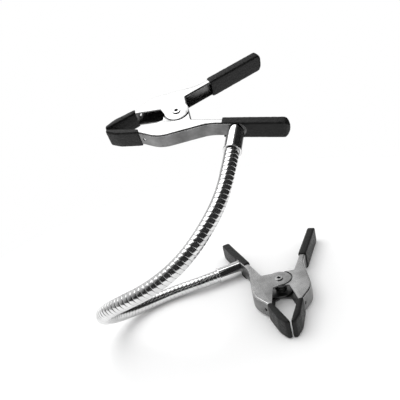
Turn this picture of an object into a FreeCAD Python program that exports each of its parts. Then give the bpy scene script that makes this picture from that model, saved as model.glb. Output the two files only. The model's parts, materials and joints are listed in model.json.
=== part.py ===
import FreeCAD, Part
import math
import os

from FreeCAD import Placement, Rotation, Vector

# Two spring clamps joined by a bendable gooseneck arm. The lower clamp lies on its side on the
# table, and the arm, already bent, holds the upper clamp in the air.
#
# Clamp frame: the origin is the middle of the rivet, +X runs to the jaw tips, +Y to the moving
# lever and +Z along the rivet. Both levers of a clamp are one stamping, drawn as the moving lever;
# the fixed lever is that stamping turned half round the X axis.

doc = FreeCAD.newDocument("helping_hands_clamp")

# ---------------------------------------------------------------------- sizes, in mm and degrees
# A size that starts with = follows from the others, so that what fits together goes on fitting.
SIZES = [
    # the stamping's side view: the web is its back, the flanges hang from it towards the pivot
    ("channel_width", 15.2),
    ("steel", 1.2),
    ("fold_inside", 0.5),
    ("fold_outside", "=fold_inside + steel"),
    ("web_height", 26.8),
    ("shoulder_reach", 20.5),
    ("jaw_reach", 64.6),
    ("jaw_length", 27.6),
    ("jaw_rear_reach", "=jaw_reach - jaw_length"),
    ("jaw_rear_web", 14.6),
    ("jaw_rear_edge", 11.6),
    ("nose_length", 8.4),
    ("nose_reach", "=jaw_reach - nose_length"),
    ("nose_web", 8.8),
    ("vinyl", 1.2),
    ("tip_gap", 0.1),
    ("tip_edge", "=vinyl + tip_gap"),
    ("tip_height", "=fold_outside + 0.4"),
    ("tip_web", "=tip_edge + tip_height"),
    ("bend_reach", 24.0),
    ("handle_reach", 87.0),
    ("handle_splay", 21.0),
    ("handle_flange", 6.0),
    ("tongue_overhang", 2.4),
    ("tongue_flat", 0.6),
    ("end_round", 2.8),
    ("shoulder_round", 26.0),
    ("jaw_round", 22.0),
    ("nose_round", 8.0),
    ("bend_round", 38.0),
    # the ears on the pivot
    ("ear_radius", 11.0),
    ("ear_front_reach", 13.5),
    ("ear_front_height", 7.5),
    ("ear_rear_height", 12.0),
    ("joggle_height", 18.0),
    ("joggle_band", 4.0),
    ("joggle_half_length", 8.0),
    ("ear_gap", 0.1),
    ("ear_disc_room", 1.5),
    ("web_hole_radius", 1.5),
    ("web_hole_reach", "=jaw_rear_reach - 2 * web_hole_radius - 0.5"),
    # hollow rivet
    ("rivet_radius", 2.5),
    ("rivet_wall", 0.8),
    ("rivet_bore", "=rivet_radius - rivet_wall"),
    ("rivet_head_overhang", 1.2),
    ("rivet_head_radius", "=rivet_radius + rivet_head_overhang"),
    ("rivet_head_height", 0.8),
    ("pivot_play", 0.05),
    # torsion spring: as many whole turns as there is room for between the inner ears
    ("wire_radius", 1.0),
    ("coil_play", 1.5),
    ("coil_radius", "=rivet_radius + wire_radius + coil_play"),
    ("leg_angle", 55.0),
    ("coil_room", 0.6),
    ("coil_height", "=channel_width - 4 * steel - 2 * ear_gap - 2 * wire_radius - coil_room"),
    ("coil_turns", "=floor(coil_height / (2.2 * wire_radius) - leg_angle / 180)"),
    ("coil_pitch", "=coil_height / (coil_turns + leg_angle / 180)"),
    ("leg_room", 0.75),
    ("leg_rise", "=web_height - steel - wire_radius - coil_radius * sin(leg_angle)"),
    ("leg_length", "=leg_rise / cos(leg_angle) - leg_room"),
    # vinyl pads and grips
    ("grip_front_reach", 35.0),
    ("grip_notch_room", 0.9),
    # ferrule and the screw that holds it
    ("ferrule_reach", 45.5),
    ("neck_radius", 6.35),
    ("socket_play", 0.05),
    ("ferrule_wall", 1.1),
    ("ferrule_radius", "=neck_radius + socket_play + ferrule_wall"),
    ("ferrule_length", 25.0),
    ("lip_overhang", 0.6),
    ("lip_radius", "=ferrule_radius + lip_overhang"),
    ("lip_height", 1.6),
    ("screw_radius", 2.5),
    ("screw_room", 0.2),
    ("screw_bite", 6.0),
    ("socket_depth", "=ferrule_length - screw_bite - 1"),
    ("head_overhang", 1.9),
    ("head_radius", "=screw_radius + head_overhang"),
    ("head_height", 3.0),
    ("hex_across", "=1.6 * screw_radius"),
    ("hex_depth", "=0.6 * head_height"),
    ("washer_thickness", 1.0),
    ("washer_radius", "=head_radius - 0.1"),
    ("washer_split", 0.8),
    # gooseneck: the furthest that a joint turns from rest sets the gap between two links
    ("link_length", 30.0),
    ("cup_wall", 1.15),
    ("ball_radius", "=neck_radius - cup_wall"),
    ("ball_play", 0.05),
    ("stem_radius", 2.8),
    ("collar_length", 1.5),
    ("joint_swing", 28.0),
    ("swing_room", 0.52),
    ("stem_length", "=collar_length + neck_radius * sin(joint_swing) + swing_room"),
    ("upper_swivel", 297.0),
]

# How each link of the gooseneck is bent: degrees up, then degrees to the side, in the direction
# that the arm is travelling from the lower clamp to the upper one.
LINK_BENDS = [
    (-4, 11), (3, -12), (14, -24), (22, -23), (19, -26), (14, -26),
    (14, -18), (19, 1), (20, 0), (13, 2), (14, 2), (7, -3),
]

sheet = doc.addObject("Spreadsheet::Sheet", "Sizes")
for row, (alias, value) in enumerate(SIZES, start=1):
    sheet.set(f"A{row}", alias)
    sheet.set(f"B{row}", str(value))
    sheet.setAlias(f"B{row}", alias)
doc.recompute()


def size(alias):
    return float(sheet.get(alias))


# ------------------------------------------------------------------------------ building helpers
X_AXIS, Y_AXIS, Z_AXIS = Vector(1, 0, 0), Vector(0, 1, 0), Vector(0, 0, 1)
HALF_TURN = Placement(Vector(), Rotation(X_AXIS, 180))
finished = []


def moved(*offset):
    return Placement(Vector(*offset), Rotation())


def finish(solid, label, place=Placement()):
    """Names a sub-part and puts it where it belongs."""
    solid.Label = label
    solid.Placement = place.multiply(solid.Placement)
    finished.append(solid)
    return solid


def add(kind, name, place=None, **bindings):
    """A Part primitive whose sizes are bound to the sheet by expressions."""
    solid = doc.addObject(kind, name)
    for prop, expression in bindings.items():
        solid.setExpression(prop, expression)
    if place is not None:
        solid.Placement = place
    return solid


def cut(name, base, tool):
    result = doc.addObject("Part::Cut", name)
    result.Base, result.Tool = base, tool
    return result


def fuse(name, *solids):
    result = doc.addObject("Part::MultiFuse", name)
    result.Shapes = list(solids)
    return result


def rounded(corners):
    """Line and arc geometry round a closed outline of (x, y) or (x, y, radius) corners."""
    points = [Vector(c[0], c[1], 0) for c in corners]
    radii = [c[2] if len(c) > 2 else 0 for c in corners]
    entries, exits, arcs = [], [], []
    for i, corner in enumerate(points):
        back = (points[i - 1] - corner).normalize()
        ahead = (points[(i + 1) % len(points)] - corner).normalize()
        half = back.getAngle(ahead) / 2
        trim = radii[i] / math.tan(half)
        entries.append(corner + back * trim)
        exits.append(corner + ahead * trim)
        middle = corner + (back + ahead).normalize() * (radii[i] / math.sin(half) - radii[i])
        arcs.append(Part.Arc(entries[i], middle, exits[i]) if radii[i] else None)
    geometry = []
    for i, arc in enumerate(arcs):
        if arc:
            geometry.append(arc)
        geometry.append(Part.LineSegment(exits[i], entries[(i + 1) % len(points)]))
    return geometry


def outline(name, corners):
    """A closed sketch in the XY plane."""
    sketch = doc.addObject("Sketcher::SketchObject", name)
    sketch.addGeometry(rounded(corners), False)
    return sketch


def extrude(name, profile, length, height=None):
    """A solid as long as the expression says, half to each side of the plane at height."""
    solid = doc.addObject("Part::Extrusion", name)
    solid.Base = profile
    solid.DirMode = "Normal"
    solid.Solid = True
    solid.Symmetric = True
    solid.setExpression("LengthFwd", length)
    if height:
        solid.setExpression(".Placement.Base.z", height)
    return solid


def folded(name, solid, radius):
    """The extruded side view with both long edges of its web rounded, as the press leaves them."""
    doc.recompute()
    result = doc.addObject("Part::Fillet", name)
    result.Base = solid
    half_width = solid.Shape.BoundBox.ZMax
    long_edges = []
    for number, edge in enumerate(solid.Shape.Edges, start=1):
        if all(abs(abs(v.Z) - half_width) < 0.01 for v in edge.Vertexes):
            for face in solid.Shape.ancestorsOfType(edge, Part.Face):
                if face.normalAt(*face.Surface.parameter(face.CenterOfMass)).y > 0.5:
                    long_edges.append((number, size(radius), size(radius)))
    result.Edges = long_edges
    return result


def tongued(name, solid, margin):
    """The solid with its handle's end rounded like a tongue, the margin outside the bare steel."""
    half = size("channel_width") / 2 + size("tongue_overhang") + margin
    ahead, bend = size("jaw_reach") + 2 * size("handle_reach"), half - size("tongue_flat")
    plan = outline(name + "_plan", [(half, ahead), (-half, ahead), (-half, -margin, bend),
                                    (half, -margin, bend)])
    end = add("Part::Extrusion", name + "_prism", Placement(on_handle(size("handle_reach")),
                                                            square_to_handle),
              LengthFwd="2 * Sizes.jaw_reach + 2 * Sizes.handle_reach")
    end.Base, end.DirMode, end.Solid, end.Symmetric = plan, "Normal", True, True
    result = doc.addObject("Part::Common", name)
    result.Base, result.Tool = solid, end
    return result


def grown(name, profile, distance):
    """The outline moved outwards, or inwards when the expression is negative."""
    result = doc.addObject("Part::Offset2D", name)
    result.Source = profile
    result.Join = "Arc"
    result.setExpression("Value", distance)
    return result


def turned(name, corners):
    """A body turned about Z, from (radius, height) corners of its half section."""
    body = doc.addObject("PartDesign::Body", name)
    plane = next(f for f in body.Origin.OriginFeatures if f.Role == "XZ_Plane")
    section = body.newObject("Sketcher::SketchObject", name + "_section")
    section.AttachmentSupport = (plane, [""])
    section.MapMode = "FlatFace"
    section.addGeometry(rounded(corners), False)
    turn = body.newObject("PartDesign::Revolution", name + "_turn")
    turn.Profile = section
    turn.ReferenceAxis = (section, ["V_Axis"])
    turn.Angle = 360
    return body


# ---------------------------------------------------------------------- geometry of the stamping
splay = math.radians(size("handle_splay"))
# +Z points straight out of the handle's web, and +X along the rivet
square_to_handle = Rotation(Vector(0, 0, 1), Vector(), Vector(math.sin(splay), math.cos(splay), 0), "ZXY")


def on_handle(reach, depth=0.0):
    """The point of the handle at this reach behind the pivot, this deep under the web's outside."""
    along = reach - size("bend_reach")
    web = Vector(-reach, size("web_height") + along * math.tan(splay), 0)
    return web - Vector(math.sin(splay), math.cos(splay), 0) * depth


def web_side(end_round=0):
    """The outside of the web from the handle's end to the jaw's tip."""
    end = on_handle(size("handle_reach"))
    return [
        (end.x, end.y, end_round),
        (-size("bend_reach"), size("web_height"), size("bend_round")),
        (size("shoulder_reach"), size("web_height"), size("shoulder_round")),
        (size("jaw_rear_reach"), size("jaw_rear_web"), size("jaw_round")),
        (size("nose_reach"), size("nose_web"), size("nose_round")),
        (size("jaw_reach"), size("tip_web")),
    ]


def side_corners():
    """The whole stamping seen from the side, its ear still square."""
    heel = on_handle(size("handle_reach"), size("handle_flange"))
    knee = on_handle(size("bend_reach"), size("handle_flange"))
    ear = size("ear_radius")
    knee_slope = (heel.y - knee.y) / (heel.x - knee.x)
    ear_rear = max(size("ear_rear_height"), knee.y + knee_slope * (-ear - knee.x))
    return web_side(size("end_round")) + [
        (size("jaw_reach"), size("tip_edge")),
        (size("jaw_rear_reach"), size("jaw_rear_edge")),
        (size("ear_front_reach"), size("ear_front_height"), size("steel")),
        (ear, 0),
        (-ear, 0),
        (-ear, ear_rear, size("steel")),
        (heel.x, heel.y, size("end_round")),
    ]


def cavity_corners():
    """The web's outside closed well past the pivot, so that its inside leaves the channel open."""
    end = on_handle(size("handle_reach"))
    return web_side() + [(size("jaw_reach"), -size("web_height")), (end.x, -size("web_height"))]


def jaw_corners():
    return [
        (size("jaw_rear_reach"), size("jaw_rear_web")),
        (size("nose_reach"), size("nose_web"), size("nose_round")),
        (size("jaw_reach"), size("tip_web")),
        (size("jaw_reach"), size("tip_edge")),
        (size("jaw_rear_reach"), size("jaw_rear_edge")),
    ]


def handle_corners():
    end_round = size("end_round")
    front, end = size("grip_front_reach"), size("handle_reach")
    flange = size("handle_flange")
    web_front, web_end = on_handle(front), on_handle(end)
    edge_end, edge_front = on_handle(end, flange), on_handle(front, flange)
    return [
        (web_front.x, web_front.y),
        (edge_front.x, edge_front.y),
        (edge_end.x, edge_end.y, end_round),
        (web_end.x, web_end.y, end_round),
    ]


def drill(name, radius, mouth, inwards, length):
    """A straight round cutter that starts one length outside the point and ends one inside."""
    start = mouth - inwards * size(length)
    cutter = add("Part::Cylinder", name, Placement(start, Rotation(Z_AXIS, inwards)),
                 Radius=radius, Height=f"2 * Sizes.{length}")
    return cutter


def web_hole(name):
    """The small hole through the sloping web just behind the jaw's pad."""
    low = Vector(size("jaw_rear_reach"), size("jaw_rear_web"), 0)
    high = Vector(size("shoulder_reach"), size("web_height"), 0)
    share = (low.x - size("web_hole_reach")) / (low.x - high.x)
    slope = (low - high).normalize()
    return drill(name, "Sizes.web_hole_radius", low + (high - low) * share,
                 Vector(slope.y, -slope.x, 0), "channel_width")


# ---------------------------------------------------------------------------------- clamp pieces
def lever(name, bore, screwed):
    """One stamping: its -Z ear lies outside, and its +Z ear is joggled in by one thickness."""
    side = outline(name + "_side", side_corners())
    slab = extrude(name + "_slab", side, "Sizes.channel_width")
    blank = tongued(name + "_blank", folded(name + "_folded", slab, "fold_outside"), 0)
    inside = grown(name + "_inside", outline(name + "_web", cavity_corners()), "-Sizes.steel")
    cavity = extrude(name + "_cavity", inside, "Sizes.channel_width - 2 * Sizes.steel")
    channel = tongued(name + "_channel", folded(name + "_hollow", cavity, "fold_inside"),
                      -size("steel"))
    ear_disc = add("Part::Cylinder", name + "_ear", Radius="Sizes.ear_radius", Height="Sizes.steel")
    ear_disc.setExpression(".Placement.Base.z", "-Sizes.channel_width / 2")
    stamped = fuse(name + "_stamped", cut(name + "_open", blank, channel), ear_disc)

    # the other ear is cut away and set again one thickness further in
    room = add("Part::Cylinder", name + "_room", Radius="Sizes.ear_radius + Sizes.ear_disc_room",
               Height="Sizes.steel * 2")
    room.setExpression(".Placement.Base.z", "Sizes.channel_width / 2 - Sizes.steel * 1.5")
    inner_level = "Sizes.channel_width / 2 - Sizes.ear_gap - Sizes.steel * 1.5"
    top, ear = size("joggle_height"), size("ear_radius")
    plate = extrude(name + "_plate", outline(name + "_plate_side", [
        (-ear, 0), (ear, 0), (ear, top - size("joggle_band")), (size("joggle_half_length"), top),
        (-size("joggle_half_length"), top), (-ear, top - size("joggle_band"))]),
        "Sizes.steel", inner_level)
    inner_disc = add("Part::Cylinder", name + "_inner_ear", Radius="Sizes.ear_radius",
                     Height="Sizes.steel")
    inner_disc.setExpression(".Placement.Base.z", inner_level + " - Sizes.steel / 2")
    joggle = add("Part::Box", name + "_joggle", Length="2 * Sizes.joggle_half_length",
                 Width="Sizes.joggle_band", Height="Sizes.ear_gap + Sizes.steel / 2")
    joggle.setExpression(".Placement.Base.x", "-Sizes.joggle_half_length")
    joggle.setExpression(".Placement.Base.y", "Sizes.joggle_height - Sizes.joggle_band")
    joggle.setExpression(".Placement.Base.z",
                         "Sizes.channel_width / 2 - Sizes.ear_gap - Sizes.steel * 1.5")
    eared = fuse(name + "_eared", cut(name + "_cleared", stamped, room), plate, inner_disc, joggle)

    pivot = add("Part::Cylinder", name + "_pivot_bore", Radius=bore, Height="2 * Sizes.channel_width")
    pivot.setExpression(".Placement.Base.z", "-Sizes.channel_width")
    holes = [pivot, web_hole(name + "_web_hole")]
    if screwed:
        inwards = -Vector(math.sin(splay), math.cos(splay), 0)
        holes.append(drill(name + "_screw_hole", "Sizes.screw_radius + Sizes.screw_room",
                           on_handle(size("ferrule_reach")), inwards, "handle_flange"))
    return cut(name, eared, fuse(name + "_holes", *holes))


def sleeve(name, corners):
    """A vinyl boot: the outline with a wall all round, less the stamping that fills it."""
    skin = extrude(name + "_skin", grown(name + "_grown", outline(name + "_outline", corners),
                                         "Sizes.vinyl"),
                   "Sizes.channel_width + 2 * Sizes.vinyl")
    core = extrude(name + "_core", outline(name + "_core_side", side_corners()),
                   "Sizes.channel_width")
    return cut(name, tongued(name + "_outside", skin, size("vinyl")),
               tongued(name + "_filled", core, 0))


def notched_grip(name):
    """The fixed lever's grip, open round the ferrule from its front edge."""
    out = Placement(on_handle(size("ferrule_reach")), square_to_handle)
    hole = add("Part::Cylinder", name + "_notch_end", out,
               Radius="Sizes.ferrule_radius + Sizes.grip_notch_room", Height="Sizes.ferrule_length")
    slot = add("Part::Box", name + "_notch_slot",
               out.multiply(moved(-size("ferrule_radius") - size("grip_notch_room"), 0, 0)),
               Length="2 * (Sizes.ferrule_radius + Sizes.grip_notch_room)",
               Width="Sizes.ferrule_reach", Height="Sizes.ferrule_length")
    return cut(name, sleeve(name + "_whole", handle_corners()), fuse(name + "_notch", hole, slot))


def rivet(name):
    """A tube through all four ears, headed at one end and rolled over at the other."""
    reach = size("channel_width") / 2 + size("pivot_play")
    radius, bore = size("rivet_radius"), size("rivet_bore")
    head, height = size("rivet_head_radius"), size("rivet_head_height")
    soft = height / 2
    return turned(name, [
        (bore, -reach - height, soft / 2), (head, -reach - height, soft), (head, -reach),
        (radius, -reach), (radius, reach), (head, reach),
        (head, reach + height, soft), (bore, reach + height, soft / 2)])


def torsion_spring(name):
    """A coil round the rivet whose two legs push the handles apart."""
    coil_height = size("coil_height")
    place = Placement(Vector(0, 0, -coil_height / 2), Rotation(Z_AXIS, -size("leg_angle")))
    path = add("Part::Helix", name + "_path", place, Pitch="Sizes.coil_pitch",
               Height="Sizes.coil_height", Radius="Sizes.coil_radius")
    rise = math.degrees(math.atan2(size("coil_pitch"), 2 * math.pi * size("coil_radius")))
    across = Placement(Vector(size("coil_radius"), 0, 0), Rotation(X_AXIS, 90 + rise))
    ring = add("Part::Circle", name + "_ring", place.multiply(across), Radius="Sizes.wire_radius")
    coil = doc.addObject("Part::Sweep", name + "_coil")
    coil.Sections, coil.Spine = [ring], (path, [])
    coil.Solid, coil.Frenet = True, True
    solids = [coil]
    for side in (-1, 1):
        turn = Rotation(Z_AXIS, side * size("leg_angle"))
        start = turn.multVec(X_AXIS) * size("coil_radius") + Z_AXIS * (side * coil_height / 2)
        away = turn.multVec(Y_AXIS) * side
        solids.append(add("Part::Sphere", f"{name}_elbow_{side + 1}", Placement(start, Rotation()),
                          Radius="Sizes.wire_radius"))
        solids.append(add("Part::Cylinder", f"{name}_leg_{side + 1}",
                          Placement(start, Rotation(Z_AXIS, away)),
                          Radius="Sizes.wire_radius", Height="Sizes.leg_length"))
    return fuse(name, *solids)


def ferrule(name):
    """The plated sleeve that stands on the handle: a deep socket, a rolled lip, a tapped base."""
    radius, length, lip = size("ferrule_radius"), size("ferrule_length"), size("lip_radius")
    socket = size("neck_radius") + size("socket_play")
    floor = length - size("socket_depth")
    soft = size("lip_height") / 3
    return turned(name, [
        (size("screw_radius"), 0), (radius, 0, soft), (radius, length - size("lip_height")),
        (lip, length - size("lip_height"), soft), (lip, length, soft), (socket, length),
        (socket, floor), (size("screw_radius"), floor)])


def screw(name):
    """The cap screw inside the handle, its head towards the open side of the channel."""
    end, seat = size("screw_bite"), -size("steel") - size("washer_thickness")
    top = seat - size("head_height")
    head, radius, soft = size("head_radius"), size("screw_radius"), size("head_height") / 6
    blank = turned(name + "_blank", [
        (0, top), (head, top, soft), (head, seat), (radius, seat), (radius, end, soft), (0, end)])
    key = add("Part::Prism", name + "_key", moved(0, 0, top),
              Circumradius="Sizes.hex_across / 2 / cos(30)", Height="Sizes.hex_depth")
    return cut(name, blank, key)


def lock_washer(name):
    inner = size("screw_radius") + size("screw_room")
    low, high = -size("steel") - size("washer_thickness"), -size("steel")
    ring = turned(name + "_ring", [(inner, low), (size("washer_radius"), low),
                                   (size("washer_radius"), high), (inner, high)])
    split = add("Part::Box", name + "_split", moved(0, -size("washer_split") / 2, low),
                Length="Sizes.washer_radius * 2", Width="Sizes.washer_split",
                Height="Sizes.washer_thickness")
    return cut(name, ring, split)


def clamp(prefix, place):
    """All the pieces of one clamp, with the ferrule and screw on its fixed lever."""
    fixed = place.multiply(HALF_TURN)
    finish(lever(prefix + "fixed_stamping", "Sizes.rivet_radius", True), prefix + "fixed_lever", fixed)
    finish(lever(prefix + "moving_stamping", "Sizes.rivet_radius + Sizes.pivot_play", False),
           prefix + "moving_lever", place)
    finish(sleeve(prefix + "fixed_boot", jaw_corners()), prefix + "fixed_pad", fixed)
    finish(sleeve(prefix + "moving_boot", jaw_corners()), prefix + "moving_pad", place)
    finish(notched_grip(prefix + "fixed_cover"), prefix + "fixed_grip", fixed)
    finish(sleeve(prefix + "moving_cover", handle_corners()), prefix + "moving_grip", place)
    finish(rivet(prefix + "tube"), prefix + "rivet", place)
    finish(torsion_spring(prefix + "coil"), prefix + "spring", place)
    seat = fixed.multiply(Placement(on_handle(size("ferrule_reach")), square_to_handle))
    finish(ferrule(prefix + "sleeve"), prefix + "ferrule", seat)
    finish(screw(prefix + "cap"), prefix + "screw", seat)
    finish(lock_washer(prefix + "split"), prefix + "lock_washer", seat)


# ------------------------------------------------------------------------------------- gooseneck
def link(name, bend, first, last):
    """One length of the arm, bent from the origin and +Z towards +X, with a ball at its start
    and a socket at its end. The outer two run on into their ferrules instead."""
    radius = size("link_length") / math.radians(bend)
    stem = 0 if first else math.degrees(size("stem_length") / radius)
    centre = Placement(Vector(radius, 0, 0), Rotation(X_AXIS, 90))
    tube = add("Part::Torus", name + "_tube",
               centre.multiply(Placement(Vector(), Rotation(Z_AXIS, 180 - bend))),
               Radius2="Sizes.neck_radius", Radius1=f"Sizes.link_length / ({bend} / 180 * pi)")
    tube.Angle3 = bend - stem
    far_end = bent(bend, radius)
    solids = [tube]
    if first:
        solids.append(add("Part::Cylinder", name + "_root", Placement(Vector(), Rotation(X_AXIS, 180)),
                          Radius="Sizes.neck_radius", Height="Sizes.socket_depth"))
    else:
        solids.append(add("Part::Sphere", name + "_ball", Radius="Sizes.ball_radius"))
        solids.append(add("Part::Cylinder", name + "_stem", Radius="Sizes.stem_radius",
                          Height="Sizes.stem_length + Sizes.collar_length"))
    reach = "Sizes.socket_depth" if last else "Sizes.collar_length"
    solids.append(add("Part::Cylinder", name + "_collar", far_end,
                      Radius="Sizes.neck_radius", Height=reach))
    whole = fuse(name + "_whole", *solids)
    if last:
        return whole
    socket = add("Part::Sphere", name + "_socket", far_end,
                 Radius="Sizes.ball_radius + Sizes.ball_play")
    return cut(name, whole, socket)


def bent(bend, radius):
    """The far end of an arc that starts along +Z and curls towards +X."""
    angle = math.radians(bend)
    return Placement(Vector(radius * (1 - math.cos(angle)), 0, radius * math.sin(angle)),
                     Rotation(Y_AXIS, bend))


def gooseneck(start):
    """Lays the links end to end, and returns where each joint is: +Z along the arm, +X up."""
    stations = [start]
    for number, (lift, turn) in enumerate(LINK_BENDS, start=1):
        bend = math.hypot(lift, turn)
        lean = Placement(Vector(), Rotation(Z_AXIS, math.degrees(math.atan2(turn, lift))))
        piece = link(f"link_{number:02d}", bend, number == 1, number == len(LINK_BENDS))
        finish(piece, f"neck_link_{number:02d}", stations[-1].multiply(lean))
        radius = size("link_length") / math.radians(bend)
        stations.append(stations[-1].multiply(lean).multiply(bent(bend, radius)).multiply(lean.inverse()))
    return stations


# -------------------------------------------------------------------------------------- assembly
table = size("channel_width") / 2 + size("vinyl")
# the lower clamp lies flat: its jaws point to -Y and its moving lever to +X
lower_place = Placement(Vector(0, 0, table), Rotation(Z_AXIS, -90))
# the mouth of a ferrule in its clamp's frame: +Z out of the mouth and +X along the rivet
outwards = Vector(math.sin(splay), -math.cos(splay), 0)
base = HALF_TURN.multVec(on_handle(size("ferrule_reach")))
mouth = Placement(base + outwards * size("ferrule_length"), Rotation(Z_AXIS, Vector(), outwards, "ZXY"))

clamp("lower_", lower_place)
stations = gooseneck(lower_place.multiply(mouth))
swivel = Placement(Vector(), Rotation(Z_AXIS, size("upper_swivel")))
about_face = Placement(Vector(), Rotation(X_AXIS, 180))
upper_place = stations[-1].multiply(swivel).multiply(about_face).multiply(mouth.inverse())
clamp("upper_", upper_place)
doc.recompute()

# the origin is the middle of the footprint of the whole object, on the table
whole = FreeCAD.BoundBox()
for solid in finished:
    whole.add(solid.Shape.optimalBoundingBox(False, False))
centring = moved(-whole.Center.x, -whole.Center.y, -whole.ZMin)
for solid in finished:
    solid.Placement = centring.multiply(solid.Placement)
doc.recompute()

# --------------------------------------------------------------------------------------- writing
for item in doc.Objects:
    if {"Invalid", "Error"} & set(item.State):
        raise RuntimeError(f"{item.Label} did not build: {item.State}")
for solid in finished:
    if solid.Shape.isNull() or not solid.Shape.isValid() or not solid.Shape.Solids:
        raise RuntimeError(f"{solid.Label} has no valid solid")

os.makedirs("parts", exist_ok=True)
for solid in finished:
    solid.Shape.exportStep(f"parts/{solid.Label}.step")
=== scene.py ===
import json
import math

import bmesh
import bpy
from mathutils import Matrix, Quaternion, Vector, noise


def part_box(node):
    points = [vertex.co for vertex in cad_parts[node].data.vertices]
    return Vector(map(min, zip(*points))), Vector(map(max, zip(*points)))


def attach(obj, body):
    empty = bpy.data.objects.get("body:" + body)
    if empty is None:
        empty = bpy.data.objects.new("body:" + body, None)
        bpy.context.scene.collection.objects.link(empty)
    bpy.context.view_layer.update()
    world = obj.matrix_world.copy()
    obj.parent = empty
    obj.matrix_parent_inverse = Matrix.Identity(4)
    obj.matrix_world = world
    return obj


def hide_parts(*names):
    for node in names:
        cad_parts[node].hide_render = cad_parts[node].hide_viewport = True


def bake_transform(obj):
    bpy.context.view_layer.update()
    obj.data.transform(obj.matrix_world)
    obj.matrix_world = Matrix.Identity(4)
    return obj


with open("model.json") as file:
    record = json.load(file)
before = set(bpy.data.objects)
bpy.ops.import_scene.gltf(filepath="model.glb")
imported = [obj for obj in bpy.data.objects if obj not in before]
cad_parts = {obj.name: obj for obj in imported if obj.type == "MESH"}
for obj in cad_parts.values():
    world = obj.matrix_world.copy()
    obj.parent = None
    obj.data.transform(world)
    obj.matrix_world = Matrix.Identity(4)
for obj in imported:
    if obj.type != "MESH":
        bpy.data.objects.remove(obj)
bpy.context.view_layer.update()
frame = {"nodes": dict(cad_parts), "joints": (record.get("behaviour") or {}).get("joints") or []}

# ------------------------------------------------------------------------------------- camera
# A fairly wide lens close to the object, a little above the upper clamp and tipped to one side,
# placed from the lower clamp's rivet.
camera_data = bpy.data.cameras.new("camera")
camera = bpy.data.objects.new("camera", camera_data)
bpy.context.scene.collection.objects.link(camera)
bpy.context.scene.camera = camera
camera_data.sensor_width = 36.0
camera_data.lens = 41.4
camera_data.clip_start, camera_data.clip_end = 0.01, 20.0
looking = Vector((-0.0987, 0.9283, -0.3586)).normalized()
upwards = Vector((0.2013, 0.3715, 0.9063)).normalized()
across = looking.cross(upwards).normalized()
upwards = across.cross(looking)
turn = Matrix((across, upwards, -looking)).transposed()
pivots = {j["name"]: Vector(j["pos_m"]) for j in frame["joints"]}
standpoint = pivots["lower_jaw_open"] + Vector((-0.01465, -0.36894, 0.24175))
camera.matrix_world = Matrix.Translation(standpoint) @ turn.to_4x4()

# ------------------------------------------------------------------------- floor and studio light
# A round white table in even light, one big softbox overhead and a little to the left, and walls
# that plated metal mirrors: dark in front and to the right, paler behind and to the left.
SOFTBOX_WAY = Vector((-0.30, 0.21, 0.94)).normalized()
SOFTBOX_DISTANCE = 2.7
SOFTBOX_SIDE = 2.4
SOFTBOX_POWER = 40.0
EVEN_LIGHT = 0.80
FLOOR_RADIUS = 0.38
PALE_WALL_WAY = Vector((-0.62, 0.75, 0.22)).normalized()
DARK_WALL, PALE_WALL = (0.015, 0.015, 0.015, 1), (0.75, 0.75, 0.75, 1)

scene = bpy.context.scene
scene.view_settings.view_transform = "Standard"
softbox_data = bpy.data.lights.new("softbox", "AREA")
softbox_data.shape, softbox_data.size, softbox_data.energy = "SQUARE", SOFTBOX_SIDE, SOFTBOX_POWER
softbox = bpy.data.objects.new("softbox", softbox_data)
scene.collection.objects.link(softbox)
softbox.matrix_world = (Matrix.Translation(SOFTBOX_WAY * SOFTBOX_DISTANCE)
                        @ SOFTBOX_WAY.to_track_quat("Z", "Y").to_matrix().to_4x4())

studio = bpy.data.worlds.new("studio")
scene.world = studio
studio.use_nodes = True
nodes, links = studio.node_tree.nodes, studio.node_tree.links
even_light = nodes["Background"]
even_light.inputs["Color"].default_value = (1, 1, 1, 1)
even_light.inputs["Strength"].default_value = EVEN_LIGHT
backdrop = nodes.new("ShaderNodeBackground")
backdrop.inputs["Color"].default_value = (1, 1, 1, 1)
dark_room = nodes.new("ShaderNodeBackground")
way = nodes.new("ShaderNodeTexCoord")
lit_side = nodes.new("ShaderNodeVectorMath")
lit_side.operation = "DOT_PRODUCT"
lit_side.inputs[1].default_value = PALE_WALL_WAY
links.new(way.outputs["Generated"], lit_side.inputs[0])
walls = nodes.new("ShaderNodeValToRGB")
for stop, place, shade in zip(walls.color_ramp.elements, (0.50, 0.95), (DARK_WALL, PALE_WALL)):
    stop.position, stop.color = place, shade
half = nodes.new("ShaderNodeMath")
half.operation = "MULTIPLY_ADD"
half.inputs[1].default_value = half.inputs[2].default_value = 0.5
links.new(lit_side.outputs["Value"], half.inputs[0])
links.new(half.outputs["Value"], walls.inputs["Fac"])
links.new(walls.outputs["Color"], dark_room.inputs["Color"])
ray = nodes.new("ShaderNodeLightPath")
choose = nodes.new("ShaderNodeMixShader")
links.new(ray.outputs["Is Glossy Ray"], choose.inputs["Fac"])
links.new(even_light.outputs["Background"], choose.inputs[1])
links.new(dark_room.outputs["Background"], choose.inputs[2])
seen = nodes.new("ShaderNodeMixShader")
links.new(ray.outputs["Is Camera Ray"], seen.inputs["Fac"])
links.new(choose.outputs["Shader"], seen.inputs[1])
links.new(backdrop.outputs["Background"], seen.inputs[2])
links.new(seen.outputs["Shader"], nodes["World Output"].inputs["Surface"])

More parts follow.
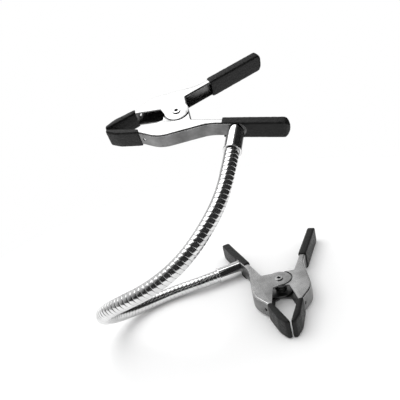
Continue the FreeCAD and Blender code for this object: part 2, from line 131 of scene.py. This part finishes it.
floor_mesh = bpy.data.meshes.new("floor")
bm = bmesh.new()
bmesh.ops.create_circle(bm, cap_ends=True, segments=96, radius=FLOOR_RADIUS)
bm.to_mesh(floor_mesh)
bm.free()
floor = bpy.data.objects.new("floor", floor_mesh)
scene.collection.objects.link(floor)
floor_finish = bpy.data.materials.new("white_sweep")
floor_finish.use_nodes = True
floor_shader = floor_finish.node_tree.nodes["Principled BSDF"]
floor_shader.inputs["Base Color"].default_value = (0.95, 0.95, 0.95, 1)
floor_shader.inputs["Roughness"].default_value = 0.9
floor_shader.inputs["Specular IOR Level"].default_value = 0.1
floor_mesh.materials.append(floor_finish)

# ------------------------------------------------------------------------------ stamped levers
# Two levers to a clamp, one stamping of 1.2 mm steel folded into a channel and nickel plated.
# Tumbling takes the sharpness off every cut edge. The inside of the channel is painted in a darker,
# duller nickel as painted shade, and the sheared and rounded cut edges take the same darker tone.
CUT_EDGE = 0.0002
CUT_ANGLE = 40.0
CHANNEL_INSIDE = 0.00646
SHEARED_FACING = 0.3


def plated_steel(name, tone, roughness, scratch):
    """Bright plating: a slow cloudiness, fine drawing lines, and a faint ripple from the press."""
    finish = bpy.data.materials.new(name)
    finish.use_nodes = True
    nodes, links = finish.node_tree.nodes, finish.node_tree.links
    shader = nodes["Principled BSDF"]
    shader.inputs["Metallic"].default_value = 1.0
    place = nodes.new("ShaderNodeTexCoord")
    cloud = nodes.new("ShaderNodeTexNoise")
    cloud.inputs["Scale"].default_value = 90.0
    cloud.inputs["Detail"].default_value = 4.0
    links.new(place.outputs["Object"], cloud.inputs["Vector"])
    stretch = nodes.new("ShaderNodeMapping")
    stretch.inputs["Scale"].default_value = (1.0, 0.12, 1.0)
    links.new(place.outputs["Object"], stretch.inputs["Vector"])
    grain = nodes.new("ShaderNodeTexNoise")
    grain.inputs["Scale"].default_value = 2600.0
    grain.inputs["Detail"].default_value = 3.0
    links.new(stretch.outputs["Vector"], grain.inputs["Vector"])
    colour = nodes.new("ShaderNodeMapRange")
    colour.inputs["From Min"].default_value = 0.3
    colour.inputs["From Max"].default_value = 0.7
    colour.inputs["To Min"].default_value = tone[0]
    colour.inputs["To Max"].default_value = tone[1]
    links.new(cloud.outputs["Fac"], colour.inputs["Value"])
    links.new(colour.outputs["Result"], shader.inputs["Base Color"])
    rough = nodes.new("ShaderNodeMapRange")
    rough.inputs["From Min"].default_value = 0.3
    rough.inputs["From Max"].default_value = 0.7
    rough.inputs["To Min"].default_value = roughness[0]
    rough.inputs["To Max"].default_value = roughness[1]
    links.new(grain.outputs["Fac"], rough.inputs["Value"])
    links.new(rough.outputs["Result"], shader.inputs["Roughness"])
    ripple = nodes.new("ShaderNodeBump")
    ripple.inputs["Strength"].default_value = scratch
    ripple.inputs["Distance"].default_value = 0.0002
    links.new(cloud.outputs["Fac"], ripple.inputs["Height"])
    links.new(ripple.outputs["Normal"], shader.inputs["Normal"])
    return finish


def piece_from(bm, name, finish, smooth_angle=35.0):
    mesh = bpy.data.meshes.new(name)
    bm.to_mesh(mesh)
    bm.free()
    mesh.shade_smooth()
    mesh.set_sharp_from_angle(angle=math.radians(smooth_angle))
    mesh.materials.append(finish)
    piece = bpy.data.objects.new(name, mesh)
    bpy.context.scene.collection.objects.link(piece)
    return piece


def merged_copy(node):
    """The node's surface with its loose triangles joined and its flats made whole."""
    bm = bmesh.new()
    bm.from_mesh(frame["nodes"][node].data)
    bmesh.ops.remove_doubles(bm, verts=bm.verts, dist=2e-6)
    bmesh.ops.dissolve_limit(bm, angle_limit=math.radians(0.4), verts=bm.verts, edges=bm.edges,
                             delimit=set())
    return bm


nickel = plated_steel("nickel_plate", (0.42, 0.66), (0.16, 0.34), 0.5)
# painted shade: a darker, duller nickel for the inside of the channel, also put on the cut edges
painted_shade_nickel = plated_steel("painted_shade_nickel", (0.16, 0.27), (0.3, 0.5), 0.4)
for clamp in ("lower", "upper"):
    rivet_middle = pivots[clamp + "_jaw_open"]
    rivet_way = Vector(next(j["axis"] for j in frame["joints"] if j["name"] == clamp + "_jaw_open"))
    for role, body in (("fixed", clamp + "_clamp"), ("moving", clamp + "_jaw")):
        bm = merged_copy(f"{clamp}_{role}_lever")
        cut_edges = [e for e in bm.edges if len(e.link_faces) == 2
                     and e.calc_face_angle() > math.radians(CUT_ANGLE)]
        tumbled = bmesh.ops.bevel(bm, geom=cut_edges, offset=CUT_EDGE, offset_type="OFFSET",
                                  segments=2, profile=0.5, affect="EDGES", clamp_overlap=True,
                                  material=-1)
        rounded_edge_faces = set(tumbled["faces"])
        bm.normal_update()
        for face in bm.faces:
            heights = [abs((v.co - rivet_middle).dot(rivet_way)) for v in face.verts]
            inside = max(heights) < CHANNEL_INSIDE
            sheared = (min(heights) > CHANNEL_INSIDE - CUT_EDGE
                       and abs(face.normal.dot(rivet_way)) < SHEARED_FACING)
            # faces inside the channel get the painted-shade nickel; sheared faces and rounded edges
            # get it too, drawn as dark outlines
            face.material_index = int(inside or sheared or face in rounded_edge_faces)
        stamping = piece_from(bm, f"{clamp}_{role}_lever_stamping", nickel, 40.0)
        stamping.data.materials.append(painted_shade_nickel)
        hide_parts(f"{clamp}_{role}_lever")
        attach(stamping, body)

# ------------------------------------------------------------------------- rivets and springs
# A hollow steel eyelet through all four ears, and the oiled spring steel coil wound round it.

def carry_over(node, finish):
    """The CAD node shows as it is, in this finish."""
    frame["nodes"][node].data.materials.clear()
    frame["nodes"][node].data.materials.append(finish)


eyelet = plated_steel("eyelet_plate", (0.55, 0.7), (0.16, 0.3), 0.2)
spring_wire = plated_steel("drawn_wire", (0.28, 0.4), (0.25, 0.4), 0.2)
for clamp in ("lower", "upper"):
    carry_over(clamp + "_rivet", eyelet)
    carry_over(clamp + "_spring", spring_wire)

# ------------------------------------------------------------------ ferrules and their fixings
# A chromed brass sleeve with a rolled lip stands on the handle, held by a cap screw and a
# split washer from inside.
chrome = plated_steel("chrome_plate", (0.78, 0.9), (0.05, 0.12), 0.12)
zinc = plated_steel("zinc_plate", (0.5, 0.62), (0.3, 0.45), 0.3)
for clamp in ("lower", "upper"):
    carry_over(clamp + "_ferrule", chrome)
    carry_over(clamp + "_screw", zinc)
    carry_over(clamp + "_lock_washer", zinc)

# ------------------------------------------------------------------------ vinyl pads and grips
# The jaws and handles are dipped in soft black vinyl, which rounds every corner and sets with a
# leathery skin.
VINYL_CELL = 0.00042
VINYL_MELT = 110
SKIN_GRAIN, SKIN_RELIEF = 420.0, 0.00009


def dipped_vinyl():
    finish = bpy.data.materials.new("black_vinyl")
    finish.use_nodes = True
    nodes, links = finish.node_tree.nodes, finish.node_tree.links
    shader = nodes["Principled BSDF"]
    shader.inputs["Specular IOR Level"].default_value = 0.26
    place = nodes.new("ShaderNodeTexCoord")
    mottle = nodes.new("ShaderNodeTexNoise")
    mottle.inputs["Scale"].default_value = 420.0
    mottle.inputs["Detail"].default_value = 5.0
    mottle.inputs["Roughness"].default_value = 0.6
    links.new(place.outputs["Object"], mottle.inputs["Vector"])
    colour = nodes.new("ShaderNodeValToRGB")
    colour.color_ramp.elements[0].position = 0.35
    colour.color_ramp.elements[0].color = (0.0015, 0.0015, 0.0015, 1)
    colour.color_ramp.elements[1].position = 0.72
    colour.color_ramp.elements[1].color = (0.012, 0.012, 0.012, 1)
    links.new(mottle.outputs["Fac"], colour.inputs["Fac"])
    links.new(colour.outputs["Color"], shader.inputs["Base Color"])
    rough = nodes.new("ShaderNodeMapRange")
    rough.inputs["From Min"].default_value = 0.3
    rough.inputs["From Max"].default_value = 0.7
    rough.inputs["To Min"].default_value = 0.3
    rough.inputs["To Max"].default_value = 0.6
    links.new(mottle.outputs["Fac"], rough.inputs["Value"])
    links.new(rough.outputs["Result"], shader.inputs["Roughness"])
    grain = nodes.new("ShaderNodeTexVoronoi")
    grain.inputs["Scale"].default_value = 1500.0
    links.new(place.outputs["Object"], grain.inputs["Vector"])
    skin = nodes.new("ShaderNodeBump")
    skin.inputs["Strength"].default_value = 0.75
    skin.inputs["Distance"].default_value = 0.0002
    links.new(grain.outputs["Distance"], skin.inputs["Height"])
    links.new(skin.outputs["Normal"], shader.inputs["Normal"])
    return finish


vinyl = dipped_vinyl()
for clamp in ("lower", "upper"):
    for role, body in (("fixed", clamp + "_clamp"), ("moving", clamp + "_jaw")):
        for cover in ("pad", "grip"):
            node = f"{clamp}_{role}_{cover}"
            rough_shape = piece_from(merged_copy(node), node + "_mould", vinyl)
            remesh = rough_shape.modifiers.new("remesh", "REMESH")
            remesh.mode, remesh.voxel_size = "VOXEL", VINYL_CELL
            melt = rough_shape.modifiers.new("melt", "SMOOTH")
            melt.factor, melt.iterations = 0.5, VINYL_MELT
            boot_mesh = bpy.data.meshes.new_from_object(
                rough_shape.evaluated_get(bpy.context.evaluated_depsgraph_get()))
            bpy.data.objects.remove(rough_shape)
            bm = bmesh.new()
            bm.from_mesh(boot_mesh)
            bm.normal_update()
            for v in bm.verts:
                v.co += v.normal * (noise.noise(v.co * SKIN_GRAIN) * SKIN_RELIEF)
            boot = piece_from(bm, f"{clamp}_{role}_{cover}_vinyl", vinyl, 180.0)
            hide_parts(node)
            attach(boot, body)

# ----------------------------------------------------------------------------------- gooseneck
# The arm is two steel wires wound together: a wedge-shaped outer wire pressed between the turns
# of a round inner one. The turns slide on each other, so the arm bends and stays where it is put.
PITCH = 0.0042
STEPS_PER_TURN = 32
LINK, LINKS = 0.030, 12
IN_SOCKET = 0.017
OUTER = 0.00634
WEDGE = [(0.00030, -0.00196), (0.00006, -0.00182), (0.0, -0.0015), (0.0, 0.0), (0.0, 0.0015),
         (0.00006, 0.00182), (0.00030, 0.00196), (0.00165, 0.00045), (0.00165, -0.00045)]
ROUND_WIRE = 0.00098
ROUND_CENTRE = 0.00125


def ferrule_mouth(node, towards):
    """The middle of a ferrule's mouth and the direction out of it, from the node's own points."""
    points = [v.co.copy() for v in frame["nodes"][node].data.vertices]
    middle = sum(points, Vector()) / len(points)
    axis = (towards - middle).normalized()
    for _ in range(60):
        axis = sum(((p - middle) * (p - middle).dot(axis) for p in points), Vector()).normalized()
    if axis.dot(towards - middle) < 0:
        axis = -axis
    low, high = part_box(node)
    middle = (low + high) / 2
    return middle + axis * max((p - middle).dot(axis) for p in points), axis


neck_joints = sorted((j for j in frame["joints"] if j["name"].startswith("neck_")),
                     key=lambda j: j["name"][-2:])
stations = [Vector(j["pos_m"]) for j in neck_joints]
first_mouth, outwards = ferrule_mouth("lower_ferrule", stations[0])
last_mouth, _ = ferrule_mouth("upper_ferrule", stations[-1])
stations = [first_mouth] + stations + [last_mouth]

# each link is a circular arc: its start, direction, sideways direction, bend and chord
arcs = []
heading, side = outwards, outwards.orthogonal().normalized()
for here, there in zip(stations, stations[1:]):
    chord = (there - here).normalized()
    bend = 2 * heading.angle(chord)
    hinge = heading.cross(chord).normalized()
    arcs.append((here, heading.copy(), side.copy(), hinge, bend))
    whole_turn = Quaternion(hinge, bend)
    heading, side = whole_turn @ heading, whole_turn @ side
arcs.append((stations[-1], heading, side, side, 0.0))


def on_neck(flat):
    """A point of the straight arm, its length along Z, carried to the bent arm."""
    number = min(max(int(flat.z // LINK), 0), len(arcs) - 1)
    start, heading, side, hinge, bend = arcs[number]
    along = flat.z - number * LINK
    if along < 0 or bend == 0.0:
        here, turned = start + heading * along, Quaternion()
    else:
        radius = LINK / bend
        turned = Quaternion(hinge, along / radius)
        towards_centre = hinge.cross(heading)
        here = start + towards_centre * radius - (turned @ towards_centre) * radius
    across_x, across_y = turned @ side, turned @ heading.cross(side)
    return here + across_x * flat.x + across_y * flat.y


def wound_wire(bm, section, first, last, offset):
    """Winds a closed section of (radius, length) points from one step number to another."""
    angle = first * 2 * math.pi / STEPS_PER_TURN
    turn = Matrix.Rotation(angle, 3, "Z")
    rise = first * PITCH / STEPS_PER_TURN + offset
    ring = [bm.verts.new(turn @ Vector((r, 0, z)) + Vector((0, 0, rise))) for r, z in section]
    edges = [bm.edges.new((ring[i - 1], ring[i])) for i in range(len(ring))]
    steps = last - first
    wound = bmesh.ops.spin(bm, geom=ring + edges, cent=(0, 0, 0), axis=(0, 0, 1),
                           dvec=(0, 0, PITCH / STEPS_PER_TURN),
                           angle=steps * 2 * math.pi / STEPS_PER_TURN, steps=steps)
    last_edges = [e for e in wound["geom_last"] if isinstance(e, bmesh.types.BMEdge)]
    bmesh.ops.contextual_create(bm, geom=edges)
    bmesh.ops.contextual_create(bm, geom=last_edges)


neck_plate = plated_steel("neck_chrome", (0.62, 0.8), (0.12, 0.24), 0.2)
wedge_section = [(OUTER - depth, length) for depth, length in WEDGE]
round_section = [(OUTER - ROUND_CENTRE + ROUND_WIRE * math.cos(a), ROUND_WIRE * math.sin(a))
                 for a in (i * math.pi / 4 for i in range(8))]
step_length = PITCH / STEPS_PER_TURN
neck_bodies = ["lower_clamp"] + [j["child"] for j in neck_joints]
cuts = [-IN_SOCKET] + [LINK * (i + 0.5) for i in range(LINKS)] + [LINK * LINKS + IN_SOCKET]
for number, (start, end) in enumerate(zip(cuts, cuts[1:]), start=1):
    first, last = round(start / step_length), round(end / step_length)
    bm = bmesh.new()
    wound_wire(bm, wedge_section, first, last, 0.0)
    wound_wire(bm, round_section, first, last, PITCH / 2)
    for v in bm.verts:
        v.co = on_neck(v.co)
    bmesh.ops.recalc_face_normals(bm, faces=bm.faces)
    coil = piece_from(bm, f"neck_wires_{number:02d}", neck_plate, 50.0)
    covered = [f"neck_link_{n:02d}" for n in (number - 1, number) if 1 <= n <= LINKS]
    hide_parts(*covered)
    if number == 1 or number == len(cuts) - 1:
        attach(coil, neck_bodies[0] if number == 1 else neck_bodies[-1])
    else:
        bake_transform(coil)
